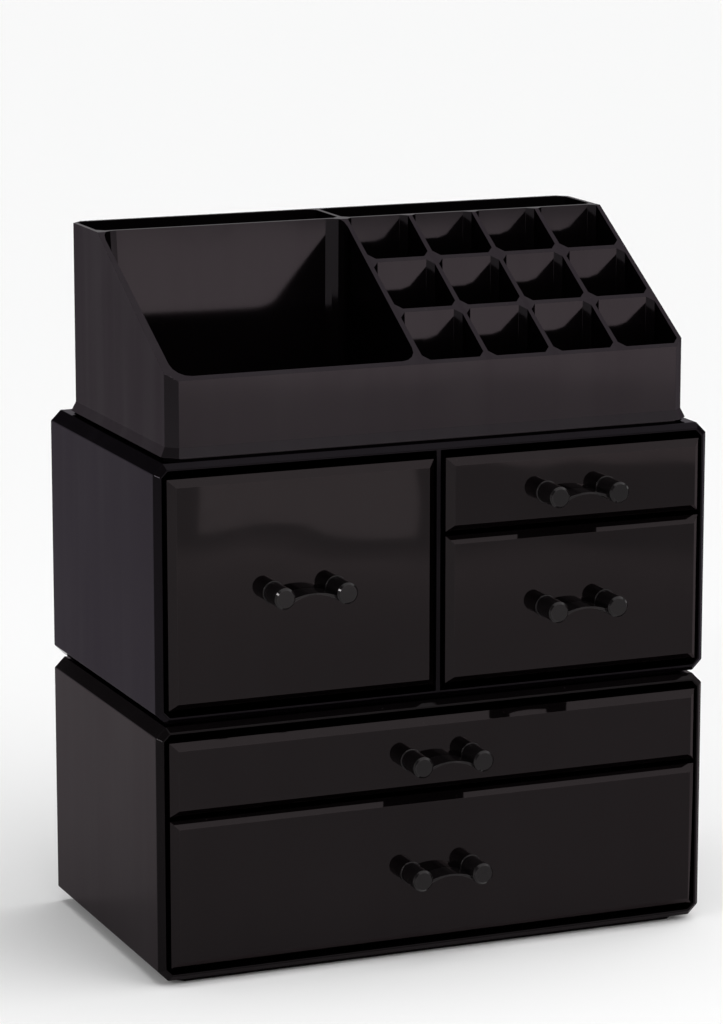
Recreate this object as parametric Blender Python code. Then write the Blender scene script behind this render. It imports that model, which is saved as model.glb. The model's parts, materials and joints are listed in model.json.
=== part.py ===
# Stacking makeup organizer: two drawer cabinets and an open tray, all in gloss black plastic.
# Lengths are metres. Each cabinet is drawn with Y = 0 at its front rim and Z = 0 at its underside.
import math

import bmesh
import bpy
from mathutils import Matrix

# Cabinet shells
shell_width = 0.2400
shell_depth = 0.1285
shell_height = 0.1044
shell_wall = 0.0030
long_edge_chamfer = 0.0043
rim_chamfer = 0.0022
partition_thickness = 0.0020
shelf_thickness = 0.0020
mouth_depth = 0.0140          # the shelves and the drawer runners start this far behind the rim
runner_height = 0.0030
runner_width = 0.0020
runner_inset = 0.0180         # from the side of a bay to the middle of its runner

# Feet, and the recess in the top of a cabinet that takes the foot of the unit above
foot_height = 0.0021
foot_inset = 0.0053           # behind the front rim, and in front of the back
foot_side_inset = 0.0075
foot_corner = 0.0050
foot_width = 0.0026
nest_depth = 0.0013
nest_play = 0.0005

# Drawers
slide_clearance = 0.0003
drawer_side_gap = 0.00165
drawer_end_gap = 0.00305      # above the top front and below the bottom one
front_to_front_gap = 0.0019
shallow_front_height = 0.0300
front_bevel = 0.0029
front_proud = 0.0008          # from the rim out to the start of the bevel
front_edge_depth = 0.0039     # the flat edge round the front, behind the bevel
front_skin = 0.0025
front_inner_wall = 0.0020
front_edge_wall = 0.0022
tub_wall = 0.0020
tub_side_inset = 0.0008
tub_top_drop = 0.0020
tub_corner_radius = 0.0030
tub_corner_steps = 3
drawer_back_clearance = 0.0005

# Handles
post_radius = 0.00435
post_length = 0.0130          # from the front's flat face to the end of the post
post_spacing = 0.0264
post_end_chamfer = 0.0008
post_sides = 36
handle_drop = 0.0016          # below the middle of the front
handle_clearance = 0.0003
peg_radius = 0.0020
peg_tail = 0.0009             # past the skin, inside the hollow front
peg_tip_chamfer = 0.0004
bow_set_back = 0.0026         # behind the ends of the posts
bow_crest_height = 0.0008
bow_thickness = 0.0007
bow_top_radius = 0.0250
bow_underside_radius = 0.0180
bow_steps = 10

# Tray
tray_height = 0.0781
tray_front_height = 0.0302
tray_side_inset = 0.0060
tray_front_inset = 0.0038
tray_corner = 0.0055
flare_height = 0.0038
flare_reach = 0.0018
tray_wall = 0.0018
tray_floor = 0.0020
tray_floor_level = 0.0040
wall_draft = 0.0100           # how far an inner wall leans for each unit of its height
side_draft = 0.0450           # the same, inside the tray's two outer sides
top_flat_depth = 0.0353       # the level top of the side walls, from the back forwards
back_row_depth = 0.0290
divider_thickness = 0.0018
slot_columns = 4
slot_rows = 3
slot_block_width = 0.1137
slot_corner = 0.0027
well_corner = 0.0070
well_corner_steps = 4
first_slot_floor = 0.0060
polish_floor = 0.0450
tray_hollow_rib = 0.0020

cut_overrun = 0.0020

drawer_names = {
    ("bottom", "shallow"): "bottom_shallow_drawer",
    ("bottom", "deep"): "bottom_deep_drawer",
    ("middle", "shallow"): "middle_shallow_drawer",
    ("middle", "deep"): "middle_deep_drawer",
    ("middle", "tall"): "middle_tall_drawer",
}

# Worked out from the sizes above
half_width = shell_width / 2
bay_half_width = half_width - shell_wall
unit_lift = foot_height - nest_depth + slide_clearance
handle_reach = front_proud + front_bevel + post_length
rim_y = (handle_reach - shell_depth) / 2
bottom_cabinet_z = foot_height
middle_cabinet_z = bottom_cabinet_z + shell_height + unit_lift
tray_z = middle_cabinet_z + shell_height + unit_lift
front_low_z = shell_wall + drawer_end_gap
front_high_z = shell_height - shell_wall - drawer_end_gap
shallow_low_z = front_high_z - shallow_front_height
deep_high_z = shallow_low_z - front_to_front_gap
shelf_low_z = (deep_high_z + shallow_low_z - shelf_thickness) / 2
shelf_high_z = shelf_low_z + shelf_thickness


def clear_scene():
    for item in list(bpy.data.objects):
        bpy.data.objects.remove(item, do_unlink=True)


def gloss_plastic(name, colour, roughness):
    material = bpy.data.materials.new(name)
    material.use_nodes = True
    shader = material.node_tree.nodes["Principled BSDF"]
    shader.inputs["Base Color"].default_value = (*colour, 1.0)
    shader.inputs["Roughness"].default_value = roughness
    shader.inputs["Metallic"].default_value = 0.0
    return material


# Building blocks


def box_outline(low_u, high_u, low_v, high_v, corners=(0, 0, 0, 0)):
    """Rectangle with its corners cut at 45 degrees, from the low corner round the way U turns to V."""
    first, second, third, fourth = corners
    points = [
        (low_u, low_v + first), (low_u + first, low_v),
        (high_u - second, low_v), (high_u, low_v + second),
        (high_u, high_v - third), (high_u - third, high_v),
        (low_u + fourth, high_v), (low_u, high_v - fourth),
    ]
    tidy = []
    for point in points:
        if not tidy or math.dist(point, tidy[-1]) > 0:
            tidy.append(point)
    return tidy if math.dist(tidy[0], tidy[-1]) > 0 else tidy[:-1]


def offset_chamfer(chamfer, inset):
    """A 45 degree corner cut, after its outline moves in by the inset."""
    return max(chamfer - inset * (2 - math.sqrt(2)), 0)


def rounded_outline(low_u, high_u, low_v, high_v, radius, steps):
    points = []
    centres = [
        (high_u - radius, low_v + radius, -90), (high_u - radius, high_v - radius, 0),
        (low_u + radius, high_v - radius, 90), (low_u + radius, low_v + radius, 180),
    ]
    for u, v, start in centres:
        for step in range(steps + 1):
            angle = math.radians(start + 90 * step / steps)
            points.append((u + radius * math.cos(angle), v + radius * math.sin(angle)))
    return points


def loft(name, rings):
    """Closed body through rings of points that all have the same count."""
    shape = bmesh.new()
    loops = [[shape.verts.new(point) for point in ring] for ring in rings]
    count = len(rings[0])
    for near, far in zip(loops, loops[1:]):
        for index in range(count):
            following = (index + 1) % count
            shape.faces.new((near[index], near[following], far[following], far[index]))
    shape.faces.new(loops[0])
    shape.faces.new(list(reversed(loops[-1])))
    bmesh.ops.recalc_face_normals(shape, faces=shape.faces)
    mesh = bpy.data.meshes.new(name)
    shape.to_mesh(mesh)
    shape.free()
    body = bpy.data.objects.new(name, mesh)
    bpy.context.collection.objects.link(body)
    return body


def along_y(name, outlines):
    """Body through X and Z outlines, each at its own Y."""
    return loft(name, [[(x, y, z) for x, z in outline] for y, outline in outlines])


def along_z(name, outlines):
    """Body through X and Y outlines, each at its own Z."""
    return loft(name, [[(x, y, z) for x, y in outline] for z, outline in outlines])


def turned_along_y(name, profile, sides):
    """Round body about the Y axis through (radius, y) pairs."""
    rings = []
    for radius, y in profile:
        turns = [2 * math.pi * side / sides for side in range(sides)]
        rings.append([(radius * math.cos(turn), y, radius * math.sin(turn)) for turn in turns])
    return loft(name, rings)


def combine(body, tool, operation):
    """Boolean with a tool that stays in the file as a hidden guide."""
    modifier = body.modifiers.new(tool.name, "BOOLEAN")
    modifier.operation = operation
    modifier.solver = "EXACT"
    modifier.object = tool
    tool.hide_render = True
    tool.display_type = "WIRE"
    tool.parent = body


def cut(body, tool):
    combine(body, tool, "DIFFERENCE")


def join(body, tool):
    combine(body, tool, "UNION")


def finish(body, material, location, parent=None, smooth_angle=30):
    body.data.materials.append(material)
    body.data.shade_smooth()
    body.data.set_sharp_from_angle(angle=math.radians(smooth_angle))
    body.location = location
    body.parent = parent


# Feet and nests


def foot_outline(grow=0):
    corner = foot_corner + grow * (2 - math.sqrt(2))
    half = half_width - foot_side_inset + grow
    near = foot_inset - grow
    far = shell_depth - foot_inset + grow
    return box_outline(-half, half, near, far, (corner,) * 4)


def add_foot(body, name, root_z):
    """Ring under a unit, from root_z inside its floor down to the foot's face."""
    join(body, along_z(name + "_foot", [(-foot_height, foot_outline()), (root_z, foot_outline())]))
    hollow = foot_outline(-foot_width)
    cut(body, along_z(name + "_foot_hollow", [(-foot_height - cut_overrun, hollow), (0, hollow)]))


# Cabinets


def bay_outline(low_x, high_x, low_z, high_z, runners):
    """X and Z outline of one drawer's bay, with chamfers only where it meets the shell's corners."""
    inner = offset_chamfer(long_edge_chamfer, shell_wall)
    at_left = low_x == -bay_half_width
    at_right = high_x == bay_half_width
    at_floor = low_z == shell_wall
    at_roof = high_z == shell_height - shell_wall
    corners = (
        inner if at_left and at_floor else 0, inner if at_right and at_floor else 0,
        inner if at_right and at_roof else 0, inner if at_left and at_roof else 0,
    )
    outline = box_outline(low_x, high_x, low_z, high_z, corners)
    if runners:
        start = next(i for i, point in enumerate(outline) if point == (low_x + corners[0], low_z)) + 1
        notches = []
        for middle in (low_x + runner_inset, high_x - runner_inset):
            left = middle - runner_width / 2
            right = middle + runner_width / 2
            top = low_z + runner_height
            notches += [(left, low_z), (left, top), (right, top), (right, low_z)]
        outline[start:start] = notches
    return outline


def make_cabinet(name, columns, material, z):
    """Open fronted shell. Each column is (low x, high x, has a shelf)."""
    full = box_outline(-half_width, half_width, 0, shell_height, (long_edge_chamfer,) * 4)
    rim = box_outline(
        rim_chamfer - half_width, half_width - rim_chamfer, rim_chamfer, shell_height - rim_chamfer,
        (offset_chamfer(long_edge_chamfer, rim_chamfer),) * 4)
    shell = along_y(name, [(0, rim), (rim_chamfer, full), (shell_depth, full)])
    add_foot(shell, name, shell_wall / 2)
    nest = foot_outline(nest_play)
    cut(shell, along_z(name + "_nest", [
        (shell_height - nest_depth, nest), (shell_height + cut_overrun, nest)]))
    floor = shell_wall
    roof = shell_height - shell_wall
    back = shell_depth - shell_wall
    for number, (low_x, high_x, shelf) in enumerate(columns):
        mouth = bay_outline(low_x, high_x, floor, roof, False)
        cut(shell, along_y(f"{name}_mouth_{number}", [(-cut_overrun, mouth), (mouth_depth, mouth)]))
        bays = [(floor, shelf_low_z), (shelf_high_z, roof)] if shelf else [(floor, roof)]
        for level, (low_z, high_z) in enumerate(bays):
            bay = bay_outline(low_x, high_x, low_z, high_z, low_z == floor)
            cut(shell, along_y(f"{name}_bay_{number}_{level}", [(mouth_depth / 2, bay), (back, bay)]))
    finish(shell, material, (0, rim_y, z))
    return shell


# Drawers


def handle_height(low_z, high_z):
    return (low_z + high_z) / 2 - handle_drop


def make_drawer(name, low_x, high_x, low_z, high_z, on_shelf, material, cabinet_z):
    """Drawer with a bevelled hollow front and an open tub. Its origin is on the front, level with the rim."""
    middle_x = (low_x + high_x) / 2
    half = (high_x - low_x) / 2 - drawer_side_gap
    bed = shelf_high_z if on_shelf else shell_wall + runner_height
    under = bed + slide_clearance - low_z
    height = high_z - low_z
    face_y = -front_proud - front_bevel
    rear_y = front_edge_depth - front_proud
    whole = box_outline(-half, half, 0, height)
    flat = box_outline(front_bevel - half, half - front_bevel, front_bevel, height - front_bevel)
    drawer = along_y(name, [(face_y, flat), (-front_proud, whole), (rear_y, whole)])

    tub_half = half - tub_side_inset
    tub_high = height - tub_top_drop
    tub_back = shell_depth - shell_wall - drawer_back_clearance
    tub = rounded_outline(-tub_half, tub_half, rear_y - tub_corner_radius, tub_back,
                          tub_corner_radius, tub_corner_steps)
    join(drawer, along_z(name + "_tub", [(under, tub), (tub_high, tub)]))
    inside = rounded_outline(tub_wall - tub_half, tub_half - tub_wall, rear_y, tub_back - tub_wall,
                             tub_corner_radius - tub_wall / 2, tub_corner_steps)
    cut(drawer, along_z(name + "_inside", [(under + tub_wall, inside), (height + cut_overrun, inside)]))

    pocket = box_outline(front_edge_wall - half, half - front_edge_wall,
                         face_y + front_skin, rear_y - front_inner_wall)
    cut(drawer, along_z(name + "_front_hollow", [
        (-cut_overrun, pocket), (height - front_edge_wall - front_bevel / 2, pocket)]))
    hole_z = height / 2 - handle_drop
    for side in (-1, 1):
        hole = turned_along_y(f"{name}_peg_hole_{side}", [
            (peg_radius + handle_clearance, face_y - cut_overrun),
            (peg_radius + handle_clearance, face_y + front_skin + cut_overrun / 2)], post_sides)
        hole.location = (side * post_spacing / 2, 0, hole_z)
        cut(drawer, hole)
    finish(drawer, material, (middle_x, rim_y, cabinet_z + low_z))
    return drawer, (0, face_y, hole_z)


# Handles


def bow_edge(crest, radius, reach):
    """Arc from -reach to reach whose highest point is at the crest."""
    span = math.asin(reach / radius)
    points = []
    for step in range(bow_steps + 1):
        angle = span * (2 * step / bow_steps - 1)
        points.append((radius * math.sin(angle), crest - radius * (1 - math.cos(angle))))
    return points


def make_handle(name, drawer, seat, material):
    """Two round posts joined by a bow. Its origin is on the drawer's flat face, midway between the posts."""
    end_y = -post_length
    foot_y = -handle_clearance
    reach = post_spacing / 2 - post_radius / 2
    top = bow_edge(bow_crest_height, bow_top_radius, reach)
    underside = bow_edge(bow_crest_height - bow_thickness, bow_underside_radius, reach)
    outline = underside + list(reversed(top))
    handle = along_y(name, [(end_y + bow_set_back, outline), (foot_y, outline)])
    post = [
        (post_radius - post_end_chamfer, end_y), (post_radius, end_y + post_end_chamfer),
        (post_radius, foot_y), (peg_radius, foot_y),
        (peg_radius, front_skin + peg_tail - peg_tip_chamfer),
        (peg_radius - peg_tip_chamfer, front_skin + peg_tail),
    ]
    for side in (-1, 1):
        tool = turned_along_y(f"{name}_post_{side}", post, post_sides)
        tool.location = (side * post_spacing / 2, 0, 0)
        join(handle, tool)
    finish(handle, material, seat, drawer, 35)
    return handle


# Tray


def leaning_pocket(name, sides, floor, top, corner, left_draft=wall_draft, right_draft=wall_draft,
                   round_steps=0):
    """Tapered pocket, wider at its mouth. The sides given are low x, high x, low y and high y at its top."""
    low_x, high_x, low_y, high_y = sides

    def outline(z):
        drop = top - z
        leaned = (low_x + drop * left_draft, high_x - drop * right_draft,
                  low_y + drop * wall_draft, high_y - drop * wall_draft)
        if round_steps:
            return rounded_outline(*leaned, corner, round_steps)
        return box_outline(*leaned, (corner,) * 4)
    high = top + cut_overrun
    return along_z(name, [(floor, outline(floor)), (high, outline(high))])


def make_tray(name, material, z):
    """One moulding: sloping slots, a wide well, a deep back row and a raised shelf for bottles."""
    wall_half = half_width - tray_side_inset - flare_reach
    wall_front = tray_front_inset + flare_reach
    wall_back = shell_depth - wall_front

    def outline(reach):
        corner = tray_corner - (flare_reach - reach) * (2 - math.sqrt(2))
        return box_outline(-wall_half - reach, wall_half + reach, wall_front - reach, wall_back + reach,
                           (corner,) * 4)
    tray = along_z(name, [
        (0, outline(flare_reach)), (flare_height, outline(0)), (tray_height, outline(0))])

    slope_start = wall_back - top_flat_depth
    fall = (tray_height - tray_front_height) / (slope_start - wall_front)
    beyond = wall_front - flare_reach - cut_overrun
    low = tray_height - fall * (slope_start - beyond)
    above = tray_height + cut_overrun
    wedge = [(slope_start, tray_height), (beyond, low), (beyond, above),
             (slope_start + cut_overrun / fall, above)]
    across = (-half_width, half_width)
    cut(tray, loft(name + "_slope", [[(x, y, z_) for y, z_ in wedge] for x in across]))

    inner_half = wall_half - tray_wall
    inner_front = wall_front + tray_wall
    inner_back = wall_back - tray_wall
    cross_front = inner_back - back_row_depth - divider_thickness
    block_left = inner_half - slot_block_width
    well_right = block_left - divider_thickness
    slot_width = (slot_block_width + divider_thickness) / slot_columns - divider_thickness
    slot_length = (cross_front - inner_front + divider_thickness) / slot_rows - divider_thickness

    def wall_top(y):
        return min(tray_height, tray_front_height + fall * (y - wall_front))

    hollows = []
    for row in range(slot_rows):
        low_y = inner_front + row * (slot_length + divider_thickness)
        high_y = low_y + slot_length
        floor = first_slot_floor + wall_top(low_y) - wall_top(inner_front)
        for column in range(slot_columns):
            low_x = block_left + column * (slot_width + divider_thickness)
            sides = (low_x, low_x + slot_width, low_y, high_y)
            cut(tray, leaning_pocket(f"{name}_slot_{row}_{column}", sides, floor, wall_top(high_y),
                                     slot_corner))
        hollows.append((block_left, low_y, high_y, floor))
    cut(tray, leaning_pocket(name + "_well", (-inner_half, well_right, inner_front, cross_front),
                             tray_floor_level, tray_height, well_corner, left_draft=side_draft,
                             round_steps=well_corner_steps))
    back_low = cross_front + divider_thickness
    cut(tray, leaning_pocket(name + "_back_row", (-inner_half, well_right, back_low, inner_back),
                             tray_floor_level, tray_height, slot_corner, left_draft=side_draft))
    cut(tray, leaning_pocket(name + "_bottle_shelf", (block_left, inner_half, back_low, inner_back),
                             polish_floor, tray_height, slot_corner, right_draft=side_draft))
    hollows.append((block_left, back_low, inner_back, polish_floor))

    for number, (low_x, low_y, high_y, floor) in enumerate(hollows):
        top = floor - tray_floor
        if top > tray_floor_level:
            hollow = box_outline(low_x, inner_half - tray_hollow_rib / 2, low_y, high_y)
            cut(tray, along_z(f"{name}_underside_{number}", [(-cut_overrun, hollow), (top, hollow)]))
    add_foot(tray, name, flare_height / 2)
    recess = foot_outline(-foot_width)
    cut(tray, along_z(name + "_underside", [
        (-cut_overrun, recess), (tray_floor_level - tray_floor, recess)]))
    finish(tray, material, (0, rim_y, z))
    return tray


clear_scene()
shell_plastic = gloss_plastic("cabinet black", (0.013, 0.011, 0.012), 0.10)
drawer_plastic = gloss_plastic("drawer black", (0.012, 0.010, 0.010), 0.08)
handle_plastic = gloss_plastic("handle black", (0.010, 0.009, 0.009), 0.06)
tray_plastic = gloss_plastic("tray black", (0.014, 0.012, 0.012), 0.14)

partition_half = partition_thickness / 2
whole_width = (-bay_half_width, bay_half_width)
left_column = (-bay_half_width, -partition_half)
right_column = (partition_half, bay_half_width)
deep_levels = (front_low_z, deep_high_z)
shallow_levels = (shallow_low_z, front_high_z)
tall_levels = (front_low_z, front_high_z)

make_cabinet("bottom_cabinet", [(*whole_width, True)], shell_plastic, bottom_cabinet_z)
make_cabinet("middle_cabinet", [(*left_column, False), (*right_column, True)], shell_plastic,
             middle_cabinet_z)
make_tray("top_tray", tray_plastic, tray_z)

layout = [
    ("bottom", "shallow", whole_width, shallow_levels, bottom_cabinet_z),
    ("bottom", "deep", whole_width, deep_levels, bottom_cabinet_z),
    ("middle", "shallow", right_column, shallow_levels, middle_cabinet_z),
    ("middle", "deep", right_column, deep_levels, middle_cabinet_z),
    ("middle", "tall", left_column, tall_levels, middle_cabinet_z),
]
for unit, kind, sides, levels, cabinet_z in layout:
    label = drawer_names[(unit, kind)]
    drawer, seat = make_drawer(label, *sides, *levels, kind == "shallow", drawer_plastic, cabinet_z)
    make_handle(label.replace("_drawer", "_handle"), drawer, seat, handle_plastic)
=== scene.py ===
import json
import math

import bmesh
import bpy
from mathutils import Euler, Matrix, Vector


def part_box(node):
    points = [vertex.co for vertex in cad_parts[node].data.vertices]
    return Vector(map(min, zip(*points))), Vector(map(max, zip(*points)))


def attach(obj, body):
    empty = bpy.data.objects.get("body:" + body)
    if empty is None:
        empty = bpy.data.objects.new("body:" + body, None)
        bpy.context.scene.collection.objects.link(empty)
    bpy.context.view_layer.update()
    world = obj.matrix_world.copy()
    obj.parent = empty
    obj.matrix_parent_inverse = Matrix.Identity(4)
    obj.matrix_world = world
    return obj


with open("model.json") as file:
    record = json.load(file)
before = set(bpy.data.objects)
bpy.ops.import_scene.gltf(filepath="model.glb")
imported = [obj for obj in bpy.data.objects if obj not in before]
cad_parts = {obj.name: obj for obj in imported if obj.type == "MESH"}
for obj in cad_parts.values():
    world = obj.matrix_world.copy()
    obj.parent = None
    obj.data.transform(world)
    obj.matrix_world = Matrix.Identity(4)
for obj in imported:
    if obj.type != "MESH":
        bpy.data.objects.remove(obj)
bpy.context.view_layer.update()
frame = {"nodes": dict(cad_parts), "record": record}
print("organizer: frame loaded with", len(frame["nodes"]), "nodes")

mm = 0.001


# Node helpers

def put(tree, kind, place, **settings):
    node = tree.nodes.new(kind)
    node.location = place
    for key, value in settings.items():
        setattr(node, key, value)
    return node


def feed(tree, socket, source):
    # source is another socket, or a plain value
    if isinstance(source, bpy.types.NodeSocket):
        tree.links.new(source, socket)
    elif source is not None:
        socket.default_value = source


def calc(tree, operation, place, *terms, clamp=False):
    node = put(tree, "ShaderNodeMath", place, operation=operation, use_clamp=clamp)
    for index, term in enumerate(terms):
        feed(tree, node.inputs[index], term)
    return node.outputs[0]


def remap(tree, place, value, fromLow, fromHigh, toLow=0.0, toHigh=1.0, smooth=False):
    node = put(tree, "ShaderNodeMapRange", place)
    node.interpolation_type = "SMOOTHSTEP" if smooth else "LINEAR"
    for name, term in (("Value", value), ("From Min", fromLow), ("From Max", fromHigh),
                       ("To Min", toLow), ("To Max", toHigh)):
        feed(tree, node.inputs[name], term)
    return node.outputs["Result"]


def noise(tree, place, vector, scale, detail=2.0, roughness=0.5, distortion=0.0):
    node = put(tree, "ShaderNodeTexNoise", place)
    for name, term in (("Vector", vector), ("Scale", scale), ("Detail", detail),
                       ("Roughness", roughness), ("Distortion", distortion)):
        feed(tree, node.inputs[name], term)
    return node.outputs["Fac"]


def stretched(tree, place, vector, scale, turn=(0, 0, 0), shift=(0, 0, 0)):
    node = put(tree, "ShaderNodeMapping", place)
    feed(tree, node.inputs["Vector"], vector)
    node.inputs["Scale"].default_value = scale
    node.inputs["Rotation"].default_value = [math.radians(a) for a in turn]
    node.inputs["Location"].default_value = shift
    return node.outputs["Vector"]


def mixColour(tree, place, factor, first, second):
    node = put(tree, "ShaderNodeMix", place, data_type="RGBA")
    feed(tree, node.inputs["Factor"], factor)
    colours = [socket for socket in node.inputs if socket.type == "RGBA"]
    for socket, colour in zip(colours, (first, second)):
        feed(tree, socket, colour)
    return next(socket for socket in node.outputs if socket.type == "RGBA")


def newGroup(name, inputs, output):
    tree = bpy.data.node_groups.new(name, "ShaderNodeTree")
    for label, kind, value in inputs:
        socket = tree.interface.new_socket(
            name=label, in_out="INPUT", socket_type="NodeSocket" + kind)
        if value is not None:
            socket.default_value = value
    tree.interface.new_socket(name=output, in_out="OUTPUT", socket_type="NodeSocketFloat")
    start = put(tree, "NodeGroupInput", (-900, 0))
    end = put(tree, "NodeGroupOutput", (900, 0))
    return tree, start.outputs, end.inputs[output]


# Effects that the plastics share. An edge is the two values between which an effect fades in.

def makeMouldWaves():
    # slow waves left by the mould's polish, with a finer ripple on top; the height is in metres
    tree, given, result = newGroup("mouldWaves", [
        ("Vector", "Vector", None), ("Wave Scale", "Float", 16.0), ("Wave Height", "Float", 0.00006),
        ("Ripple Scale", "Float", 120.0), ("Ripple Height", "Float", 0.000002)], "Height")
    slow = noise(tree, (-500, 150), given["Vector"], given["Wave Scale"], 1.0, 0.4, 0.3)
    fine = noise(tree, (-500, -150), given["Vector"], given["Ripple Scale"], 3.0, 0.55)
    high = calc(tree, "MULTIPLY", (-200, 150), slow, given["Wave Height"])
    low = calc(tree, "MULTIPLY", (-200, -150), fine, given["Ripple Height"])
    feed(tree, result, calc(tree, "ADD", (100, 0), high, low))
    return tree


smudgeShape = {"patchEdge": (0.46, 0.72), "streakEdge": (0.35, 0.75),
               "wipeStretch": (1.0, 1.0, 0.18), "wipeTurn": (0, 18, 8)}


def makeHandlingSmudges():
    # soft patches where hands and cloths have been, drawn out along the wiping direction
    tree, given, result = newGroup("handlingSmudges", [
        ("Vector", "Vector", None), ("Patch Scale", "Float", 22.0), ("Streak Scale", "Float", 60.0),
        ("Amount", "Float", 1.0)], "Mask")
    patches = noise(tree, (-500, 200), given["Vector"], given["Patch Scale"], 4.0, 0.6, 0.8)
    wiped = stretched(tree, (-700, -150), given["Vector"],
                      smudgeShape["wipeStretch"], smudgeShape["wipeTurn"])
    streaks = noise(tree, (-500, -150), wiped, given["Streak Scale"], 3.0, 0.6)
    where = remap(tree, (-200, 200), patches, *smudgeShape["patchEdge"], smooth=True)
    how = remap(tree, (-200, -150), streaks, *smudgeShape["streakEdge"])
    mask = calc(tree, "MULTIPLY", (100, 50), where, how)
    feed(tree, result, calc(tree, "MULTIPLY", (300, 0), mask, given["Amount"], clamp=True))
    return tree


scratchShape = {"turns": ((12, 25, 35), (-40, 10, -28)), "stretch": (1.0, 0.02, 0.02),
                "lineEdge": (0.74, 0.80), "patchScale": 45.0, "patchEdge": (0.50, 0.62)}


def makeHairScratches():
    # two crossed sets of very thin lines, broken up so that few of them run far
    tree, given, result = newGroup("hairScratches", [
        ("Vector", "Vector", None), ("Line Scale", "Float", 900.0), ("Amount", "Float", 1.0)], "Mask")
    lines = []
    for row, turn in enumerate(scratchShape["turns"]):
        level = 250 - 300 * row
        run = stretched(tree, (-700, level), given["Vector"], scratchShape["stretch"], turn)
        line = noise(tree, (-500, level), run, given["Line Scale"], 1.0, 0.5)
        lines.append(remap(tree, (-250, level), line, *scratchShape["lineEdge"]))
    patches = noise(tree, (-500, -350), given["Vector"], scratchShape["patchScale"], 2.0, 0.5)
    where = remap(tree, (-250, -350), patches, *scratchShape["patchEdge"], smooth=True)
    both = calc(tree, "MAXIMUM", (0, 100), lines[0], lines[1])
    mask = calc(tree, "MULTIPLY", (200, 0), both, where)
    feed(tree, result, calc(tree, "MULTIPLY", (400, 0), mask, given["Amount"], clamp=True))
    return tree


rubAndHighlightShape = {"samples": 6, "edge": (0.995, 0.90), "breakScale": 160.0, "breakEdge": (0.35, 0.62)}


def makeEdgeRubAndHighlight():
    # edges that hands and cloths have dulled, a mask also used for a painted highlight along them:
    # where a widened normal leaves the true one
    tree, given, result = newGroup("edgeRubAndHighlight", [
        ("Vector", "Vector", None), ("Radius", "Float", 0.0008), ("Amount", "Float", 1.0)], "Mask")
    wide = put(tree, "ShaderNodeBevel", (-700, 150), samples=rubAndHighlightShape["samples"])
    feed(tree, wide.inputs["Radius"], given["Radius"])
    true = put(tree, "ShaderNodeNewGeometry", (-700, -100))
    turn = put(tree, "ShaderNodeVectorMath", (-450, 100), operation="DOT_PRODUCT")
    feed(tree, turn.inputs[0], wide.outputs["Normal"])
    feed(tree, turn.inputs[1], true.outputs["Normal"])
    edge = remap(tree, (-200, 100), turn.outputs["Value"], *rubAndHighlightShape["edge"])
    gaps = noise(tree, (-450, -250), given["Vector"], rubAndHighlightShape["breakScale"], 3.0, 0.65)
    broken = remap(tree, (-200, -200), gaps, *rubAndHighlightShape["breakEdge"])
    mask = calc(tree, "MULTIPLY", (100, 0), edge, broken)
    feed(tree, result, calc(tree, "MULTIPLY", (300, 0), mask, given["Amount"], clamp=True))
    return tree


dustShape = {"speckEdge": (0.16, 0.05), "emptyShare": 0.86, "upEdge": (0.55, 0.95)}


def makeFineDust():
    # single specks, only on faces that look up
    tree, given, result = newGroup("fineDust", [
        ("Vector", "Vector", None), ("Speck Scale", "Float", 420.0), ("Amount", "Float", 1.0)], "Mask")
    cells = put(tree, "ShaderNodeTexVoronoi", (-600, 150))
    feed(tree, cells.inputs["Vector"], given["Vector"])
    feed(tree, cells.inputs["Scale"], given["Speck Scale"])
    split = put(tree, "ShaderNodeSeparateColor", (-400, 0))
    feed(tree, split.inputs["Color"], cells.outputs["Color"])
    speck = remap(tree, (-200, 200), cells.outputs["Distance"], *dustShape["speckEdge"])
    few = calc(tree, "GREATER_THAN", (-200, 0), split.outputs["Red"], dustShape["emptyShare"])
    geometry = put(tree, "ShaderNodeNewGeometry", (-600, -250))
    parts = put(tree, "ShaderNodeSeparateXYZ", (-400, -250))
    feed(tree, parts.inputs[0], geometry.outputs["Normal"])
    up = remap(tree, (-200, -250), parts.outputs["Z"], *dustShape["upEdge"], smooth=True)
    mask = calc(tree, "MULTIPLY", (100, 0), calc(tree, "MULTIPLY", (0, 100), speck, few), up)
    feed(tree, result, calc(tree, "MULTIPLY", (300, 0), mask, given["Amount"], clamp=True))
    return tree


def makeSinkMarks():
    # upright marks where thin ribs meet the back of a wall: 1 in a mark's middle, 0 between marks
    tree, given, result = newGroup("sinkMarks", [
        ("Vector", "Vector", None), ("First Rib", "Float", 0.0), ("Rib Pitch", "Float", 0.03),
        ("Mark Width", "Float", 0.002), ("Left End", "Float", -1.0)], "Mask")
    parts = put(tree, "ShaderNodeSeparateXYZ", (-700, 0))
    feed(tree, parts.inputs[0], given["Vector"])
    along = calc(tree, "SUBTRACT", (-500, 100), parts.outputs["X"], given["First Rib"])
    half = calc(tree, "MULTIPLY", (-500, -150), given["Rib Pitch"], 0.5)
    turned = calc(tree, "ADD", (-350, 100), along, half)
    wrapped = calc(tree, "FLOORED_MODULO", (-200, 100), turned, given["Rib Pitch"])
    away = calc(tree, "ABSOLUTE", (50, 100), calc(tree, "SUBTRACT", (-50, 100), wrapped, half))
    hollow = remap(tree, (200, 100), away, given["Mark Width"], 0.0, smooth=True)
    inside = calc(tree, "GREATER_THAN", (200, -150), parts.outputs["X"], given["Left End"])
    feed(tree, result, calc(tree, "MULTIPLY", (450, 0), hollow, inside))
    return tree


flowShape = {"cloudStretch": (1.0, 1.0, 0.5), "cloudTurn": (0, 6, 0), "cloudEdge": (0.32, 0.68),
             "streakStretch": (1.0, 1.0, 0.06), "streakTurn": (0, 1.5, 0), "streakEdge": (0.40, 0.66)}


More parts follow.
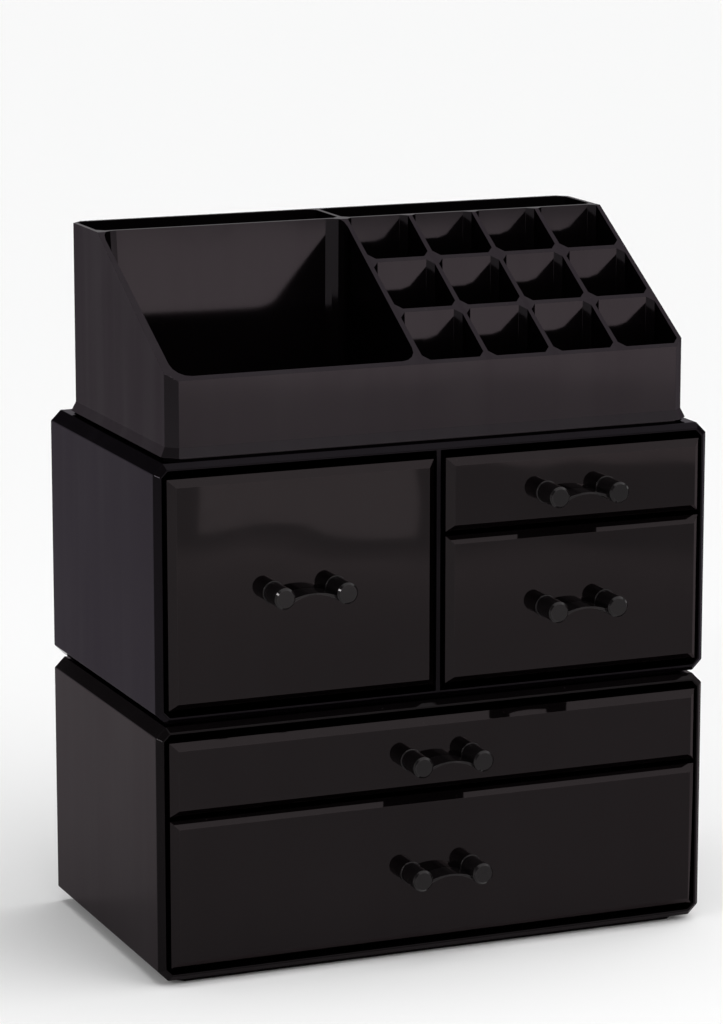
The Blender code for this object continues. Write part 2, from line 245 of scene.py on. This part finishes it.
def makeFlowStreaks():
    # where the melt ran up the wall: broad clouds and thin upright streaks in the pigment
    tree, given, result = newGroup("flowStreaks", [
        ("Vector", "Vector", None), ("Cloud Scale", "Float", 14.0), ("Streak Scale", "Float", 110.0),
        ("Streak Share", "Float", 0.45)], "Mask")
    broad = stretched(tree, (-700, 200), given["Vector"],
                      flowShape["cloudStretch"], flowShape["cloudTurn"])
    cloudNoise = noise(tree, (-500, 200), broad, given["Cloud Scale"], 3.0, 0.55, 0.6)
    clouds = remap(tree, (-250, 200), cloudNoise, *flowShape["cloudEdge"])
    drawn = stretched(tree, (-700, -150), given["Vector"],
                      flowShape["streakStretch"], flowShape["streakTurn"])
    thinNoise = noise(tree, (-500, -150), drawn, given["Streak Scale"], 2.0, 0.55)
    thin = remap(tree, (-250, -150), thinNoise, *flowShape["streakEdge"])
    gap = calc(tree, "SUBTRACT", (0, 50), thin, clouds)
    both = calc(tree, "MULTIPLY_ADD", (200, 0), gap, given["Streak Share"], clouds, clamp=True)
    feed(tree, result, both)
    return tree


effects = {
    "waves": makeMouldWaves(), "smudges": makeHandlingSmudges(), "scratches": makeHairScratches(),
    "rubAndHighlight": makeEdgeRubAndHighlight(), "dust": makeFineDust(), "sinks": makeSinkMarks(), "flow": makeFlowStreaks(),
}
print("organizer: effect groups ready:", ", ".join(effects))


def useEffect(tree, name, place, vector, **values):
    node = put(tree, "ShaderNodeGroup", place)
    node.node_tree = effects[name]
    feed(tree, node.inputs["Vector"], vector)
    for key, value in values.items():
        node.inputs[key.replace("_", " ")].default_value = value
    return node.outputs[0]


# The plastics: one recipe, each with its own look. The pigment is deep in clear plastic, so light
# that skims a face goes further through the smoked skin than light that meets it squarely. The skin
# is a little thinner where the melt ran, by up to skinLoss; None is a plastic without the skin.

smokedSkin = {"ior": 1.03, "roughness": 0.05}


def glossPlastic(name, look):
    material = bpy.data.materials.new(name)
    material.use_nodes = True
    tree = material.node_tree
    shader = tree.nodes["Principled BSDF"]
    shader.location = (700, 0)
    tree.nodes["Material Output"].location = (1000, 0)
    where = put(tree, "ShaderNodeTexCoord", (-1300, 0)).outputs["Object"]

    smudges = useEffect(tree, "smudges", (-900, 100), where, **look["smudges"])
    scratches = useEffect(tree, "scratches", (-900, -100), where, **look["scratches"])
    rubAndHighlight = useEffect(tree, "rubAndHighlight", (-900, -300), where, **look["rubAndHighlight"])
    dust = useEffect(tree, "dust", (-900, -500), where, **look["dust"])

    cloud = noise(tree, (-900, 400), where, look["cloudScale"], 3.0, 0.55)
    cloudy = remap(tree, (-700, 400), cloud, *look["cloudEdge"])
    colour = mixColour(tree, (-500, 400), cloudy, (*look["darkColour"], 1), (*look["lightColour"], 1))
    # edges lightened in colour: partly real wear, partly a painted highlight line along them
    colour = mixColour(tree, (-250, 350), rubAndHighlight, colour, (*look["rubAndHighlightColour"], 1))
    colour = mixColour(tree, (0, 300), dust, colour, (*look["dustColour"], 1))
    feed(tree, shader.inputs["Base Color"], colour)

    rough = calc(tree, "MULTIPLY_ADD", (-500, 0), smudges, look["smudgeRoughness"], look["roughness"])
    rough = calc(tree, "MULTIPLY_ADD", (-300, -50), scratches, look["scratchRoughness"], rough)
    rough = calc(tree, "MULTIPLY_ADD", (-100, -100), rubAndHighlight, look["rubRoughness"], rough)
    rough = calc(tree, "MULTIPLY_ADD", (100, -150), dust, look["dustRoughness"], rough, clamp=True)
    feed(tree, shader.inputs["Roughness"], rough)

    height = useEffect(tree, "waves", (-500, -500), where, **look["waves"])
    thinSkin = useEffect(tree, "flow", (-500, -950), where, **look["flow"])
    if "sinks" in look:
        marks = useEffect(tree, "sinks", (-500, -750), where, **look["sinks"])
        height = calc(tree, "MULTIPLY_ADD", (-200, -600), marks, -look["sinkDepth"], height)
        thinSkin = calc(tree, "MULTIPLY_ADD", (-200, -900), marks, -look["sinkShade"], thinSkin)
    bump = put(tree, "ShaderNodeBump", (300, -400))
    bump.inputs["Distance"].default_value = 1.0
    feed(tree, bump.inputs["Height"], height)
    feed(tree, shader.inputs["Normal"], bump.outputs["Normal"])

    shader.inputs["IOR"].default_value = look["ior"]
    shader.inputs["Specular Tint"].default_value = (*look["facingTint"], 1)
    if look["skinLoss"] is None:
        shader.inputs["Coat Weight"].default_value = 0.0
    else:
        feed(tree, shader.inputs["Coat Weight"],
             calc(tree, "MULTIPLY_ADD", (300, -800), thinSkin, -look["skinLoss"], 1.0, clamp=True))
    shader.inputs["Coat IOR"].default_value = smokedSkin["ior"]
    shader.inputs["Coat Roughness"].default_value = smokedSkin["roughness"]
    shader.inputs["Coat Tint"].default_value = (*look["skinTint"], 1)
    shader.inputs["Metallic"].default_value = 0.0
    return material


plainLook = {
    "darkColour": (0.0030, 0.0025, 0.0027), "lightColour": (0.0060, 0.0050, 0.0054),
    # rubAndHighlightColour lightens the edges: partly real wear, partly a painted highlight
    "rubAndHighlightColour": (0.040, 0.036, 0.037), "dustColour": (0.20, 0.19, 0.18),
    "cloudScale": 9.0, "cloudEdge": (0.3, 0.7), "roughness": 0.05, "smudgeRoughness": 0.08,
    "scratchRoughness": 0.15, "rubRoughness": 0.12, "dustRoughness": 0.5,
    "ior": 1.40, "facingTint": (1.0, 1.0, 1.0), "skinLoss": 0.05, "skinTint": (0.52, 0.46, 0.48),
    "smudges": {"Patch_Scale": 20.0, "Streak_Scale": 70.0, "Amount": 0.8},
    "scratches": {"Line_Scale": 900.0, "Amount": 0.5},
    "rubAndHighlight": {"Radius": 0.0006, "Amount": 0.5},
    "dust": {"Speck_Scale": 420.0, "Amount": 0.30},
    "waves": {"Wave_Scale": 14.0, "Wave_Height": 0.00025,
              "Ripple_Scale": 110.0, "Ripple_Height": 0.0000012},
    "flow": {"Cloud_Scale": 14.0, "Streak_Scale": 110.0, "Streak_Share": 0.45},
}
cabinetLook = {**plainLook, "roughness": 0.06, "facingTint": (0.35, 0.35, 0.35),
               "skinTint": (0.44, 0.395, 0.455)}
# the bottom cabinet's copy of the cabinet plastic, with a lighter skin tint as painted light for its
# brighter side
baseLitLook = {**cabinetLook, "skinTint": (0.545, 0.50, 0.52)}
drawerLook = {**plainLook, "roughness": 0.035, "skinTint": (0.455, 0.395, 0.41), "skinLoss": 0.03,
              "waves": {**plainLook["waves"], "Wave_Height": 0.00045}}
handleLook = {**plainLook, "roughness": 0.035, "ior": 1.33, "facingTint": (0.70, 0.67, 0.68),
              "skinLoss": None}
trayLook = {**plainLook, "roughness": 0.08, "skinTint": (0.425, 0.375, 0.415), "skinLoss": 0.06,
            "sinks": {"First_Rib": -0.0042, "Rib_Pitch": 0.02888, "Mark_Width": 0.0022,
                      "Left_End": -0.01},
            "sinkDepth": 0.000012, "sinkShade": 0.8}

plastics = {
    "cabinet_plastic": glossPlastic("cabinet gloss plastic", cabinetLook),
    "drawer_plastic": glossPlastic("drawer gloss plastic", drawerLook),
    "handle_plastic": glossPlastic("handle gloss plastic", handleLook),
    "tray_plastic": glossPlastic("tray gloss plastic", trayLook),
}
ownPlastic = {"bottom_cabinet": glossPlastic("bottom cabinet gloss plastic", baseLitLook)}   # lighter copy of the cabinet plastic: painted light for the bottom unit's brighter side
print("organizer: plastics ready:", ", ".join([*plastics, *ownPlastic]))


# The moulded pieces come from the frame: each gets its plastic and its small edge radii

edges = {"merge": 0.01 * mm, "flatAngle": 1.0, "edgeAngle": 25.0, "segments": 2,
         "radius": {"cabinet_plastic": 0.35 * mm, "drawer_plastic": 0.30 * mm,
                    "handle_plastic": 0.25 * mm, "tray_plastic": 0.30 * mm}}


def softenEdges(piece, radius):
    weld = piece.modifiers.new("weld corners", "WELD")
    weld.merge_threshold = edges["merge"]
    flat = piece.modifiers.new("clear flat faces", "DECIMATE")
    flat.decimate_type = "DISSOLVE"
    flat.angle_limit = math.radians(edges["flatAngle"])
    bevel = piece.modifiers.new("edge radius", "BEVEL")
    bevel.width = radius
    bevel.segments = edges["segments"]
    bevel.limit_method = "ANGLE"
    bevel.angle_limit = math.radians(edges["edgeAngle"])
    bevel.harden_normals = True


slotOf = {part["node"]: part["material_slot"] for part in frame["record"]["subparts"]}
for name, node in frame["nodes"].items():
    node.data.materials.clear()
    node.data.materials.append(ownPlastic.get(name, plastics[slotOf[name]]))
    softenEdges(node, edges["radius"][slotOf[name]])
print("organizer: materials and edge radii on", len(frame["nodes"]), "mouldings")


# Small rounded collars where the handle posts meet the drawer fronts. The profile runs round the
# collar's section, in millimetres: out from the post, and along it from the drawer front.

collar = {"postRadius": 4.35 * mm, "postSpacing": 26.4 * mm, "pegDepth": 3.4 * mm, "sides": 40,
          "profile": [(-0.02, -0.42), (0.10, -0.41), (0.24, -0.35), (0.35, -0.24), (0.41, -0.10),
                      (0.43, 0.05), (-0.02, 0.05)]}


def makeCollars(handle, body):
    low, high = (Vector(corner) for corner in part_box(handle))
    middle = (low + high) / 2
    face = high.y - collar["pegDepth"]
    shape = bmesh.new()
    for side in (-1, 1):
        postX = middle.x + side * collar["postSpacing"] / 2
        rings = []
        for step in range(collar["sides"]):
            turn = 2 * math.pi * step / collar["sides"]
            ring = []
            for out, along in collar["profile"]:
                reach = collar["postRadius"] + out * mm
                ring.append(shape.verts.new((postX + reach * math.cos(turn), face + along * mm,
                                             middle.z + reach * math.sin(turn))))
            rings.append(ring)
        for here, there in zip(rings, rings[1:] + rings[:1]):
            for index in range(len(here)):
                after = (index + 1) % len(here)
                shape.faces.new((here[index], here[after], there[after], there[index]))
    bmesh.ops.recalc_face_normals(shape, faces=shape.faces)
    name = handle.replace("_handle", "_handle_collars")
    mesh = bpy.data.meshes.new(name)
    shape.to_mesh(mesh)
    shape.free()
    mesh.shade_smooth()
    mesh.materials.append(plastics["handle_plastic"])
    piece = bpy.data.objects.new(name, mesh)
    bpy.context.scene.collection.objects.link(piece)
    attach(piece, body)


for body, nodes in frame["record"]["behaviour"]["bodies"].items():
    for node in nodes:
        if node.endswith("_handle"):
            makeCollars(node, body)
print("organizer: collars round the handle posts")


# Floor, lamps, world and camera

room = {"floorSize": 30.0, "floorColour": (0.93, 0.93, 0.93), "floorRoughness": 0.8,
        "sweepLevel": 0.91, "sweepTop": (14, 18), "wallLevel": 0.10}

# each softbox fades out between the two angles of its edge
softboxes = [
    {"aim": (0.36, -0.28, 0.89), "edge": (50, 37), "level": 1.95},
    {"aim": (-0.85, 0.10, 0.52), "edge": (42, 18), "level": 0.55},
]


def makeFloor():
    mesh = bpy.data.meshes.new("studio floor")
    shape = bmesh.new()
    bmesh.ops.create_grid(shape, x_segments=1, y_segments=1, size=room["floorSize"] / 2)
    shape.to_mesh(mesh)
    shape.free()
    floor = bpy.data.objects.new("studio_floor", mesh)
    bpy.context.scene.collection.objects.link(floor)
    material = bpy.data.materials.new("studio floor")
    material.use_nodes = True
    shader = material.node_tree.nodes["Principled BSDF"]
    shader.inputs["Base Color"].default_value = (*room["floorColour"], 1)
    shader.inputs["Roughness"].default_value = room["floorRoughness"]
    shader.inputs["Specular IOR Level"].default_value = 0.0
    mesh.materials.append(material)


def makeWorld():
    # a white sweep up to the angles in sweepTop, dim walls above it, and the softboxes on top of both
    world = bpy.data.worlds.new("studio")
    bpy.context.scene.world = world
    world.use_nodes = True
    tree = world.node_tree
    direction = put(tree, "ShaderNodeTexCoord", (-1300, 0)).outputs["Generated"]
    parts = put(tree, "ShaderNodeSeparateXYZ", (-1000, 300))
    feed(tree, parts.inputs[0], direction)
    low = [math.sin(math.radians(angle)) for angle in room["sweepTop"]]
    level = remap(tree, (-700, 300), parts.outputs["Z"], *low,
                  room["sweepLevel"], room["wallLevel"], smooth=True)
    for row, box in enumerate(softboxes):
        toBox = put(tree, "ShaderNodeVectorMath", (-1000, -250 * row), operation="DOT_PRODUCT")
        feed(tree, toBox.inputs[0], direction)
        toBox.inputs[1].default_value = Vector(box["aim"]).normalized()
        near = [math.cos(math.radians(angle)) for angle in box["edge"]]
        share = remap(tree, (-700, -250 * row), toBox.outputs["Value"], *near, 0.0,
                      box["level"] - room["wallLevel"], smooth=True)
        level = calc(tree, "ADD", (-400 + 200 * row, 0), level, share)
    background = tree.nodes["Background"]
    background.location = (200, 0)
    background.inputs["Color"].default_value = (1, 1, 1, 1)
    feed(tree, background.inputs["Strength"], level)


# level is how bright the lamp's face is, where 1 is white
lamps = [
    {"name": "leftStrip", "place": (-1.03, -0.58, 0.66), "aim": (-0.03, -0.07, 0.17),
     "size": (0.06, 0.40), "level": 33.0, "colour": (1.0, 1.0, 1.0)},
    {"name": "lowFrontBox", "place": (0.31, -0.80, 0.070), "aim": (0.02, -0.06, 0.070),
     "size": (0.50, 0.045), "level": 1.2, "colour": (1.0, 0.90, 0.89)},
    {"name": "highFrontBox", "place": (0.31, -0.80, 0.140), "aim": (0.02, -0.06, 0.140),
     "size": (0.50, 0.095), "level": 2.5, "colour": (1.0, 0.90, 0.89)},
    {"name": "lowCornerBox", "place": (0.235, -0.79, 0.032), "aim": (-0.06, -0.06, 0.032),
     "size": (0.13, 0.038), "level": 1.15, "colour": (1.0, 0.95, 0.94)},
]


def makeLamp(lamp):
    data = bpy.data.lights.new(lamp["name"], "AREA")
    data.shape = "RECTANGLE"
    data.size, data.size_y = lamp["size"]
    data.energy = lamp["level"] * math.pi * data.size * data.size_y
    data.color = lamp["colour"]
    lampObject = bpy.data.objects.new(lamp["name"], data)
    lampObject.visible_camera = False
    bpy.context.scene.collection.objects.link(lampObject)
    lampObject.location = lamp["place"]
    aim = Vector(lamp["aim"]) - Vector(lamp["place"])
    lampObject.rotation_euler = aim.to_track_quat("-Z", "Y").to_euler()


cameraLook = {"place": (-0.6324, -1.5034, 0.5141), "yaw": 22.481, "pitch": 11.803,
              "focalPixels": 4043.2, "imageHeight": 1024, "sensor": 36.0}


def makeCamera():
    data = bpy.data.cameras.new("photo camera")
    data.sensor_width = cameraLook["sensor"]
    data.lens = cameraLook["focalPixels"] * cameraLook["sensor"] / cameraLook["imageHeight"]
    camera = bpy.data.objects.new("photo camera", data)
    camera.location = cameraLook["place"]
    camera.rotation_euler = Euler((math.radians(90 - cameraLook["pitch"]), 0,
                                   math.radians(-cameraLook["yaw"])))
    bpy.context.scene.collection.objects.link(camera)
    bpy.context.scene.camera = camera


makeFloor()
makeWorld()
for lamp in lamps:
    makeLamp(lamp)
makeCamera()
bpy.context.scene.view_settings.view_transform = "Standard"
print("organizer: floor, lamps, world and camera ready")
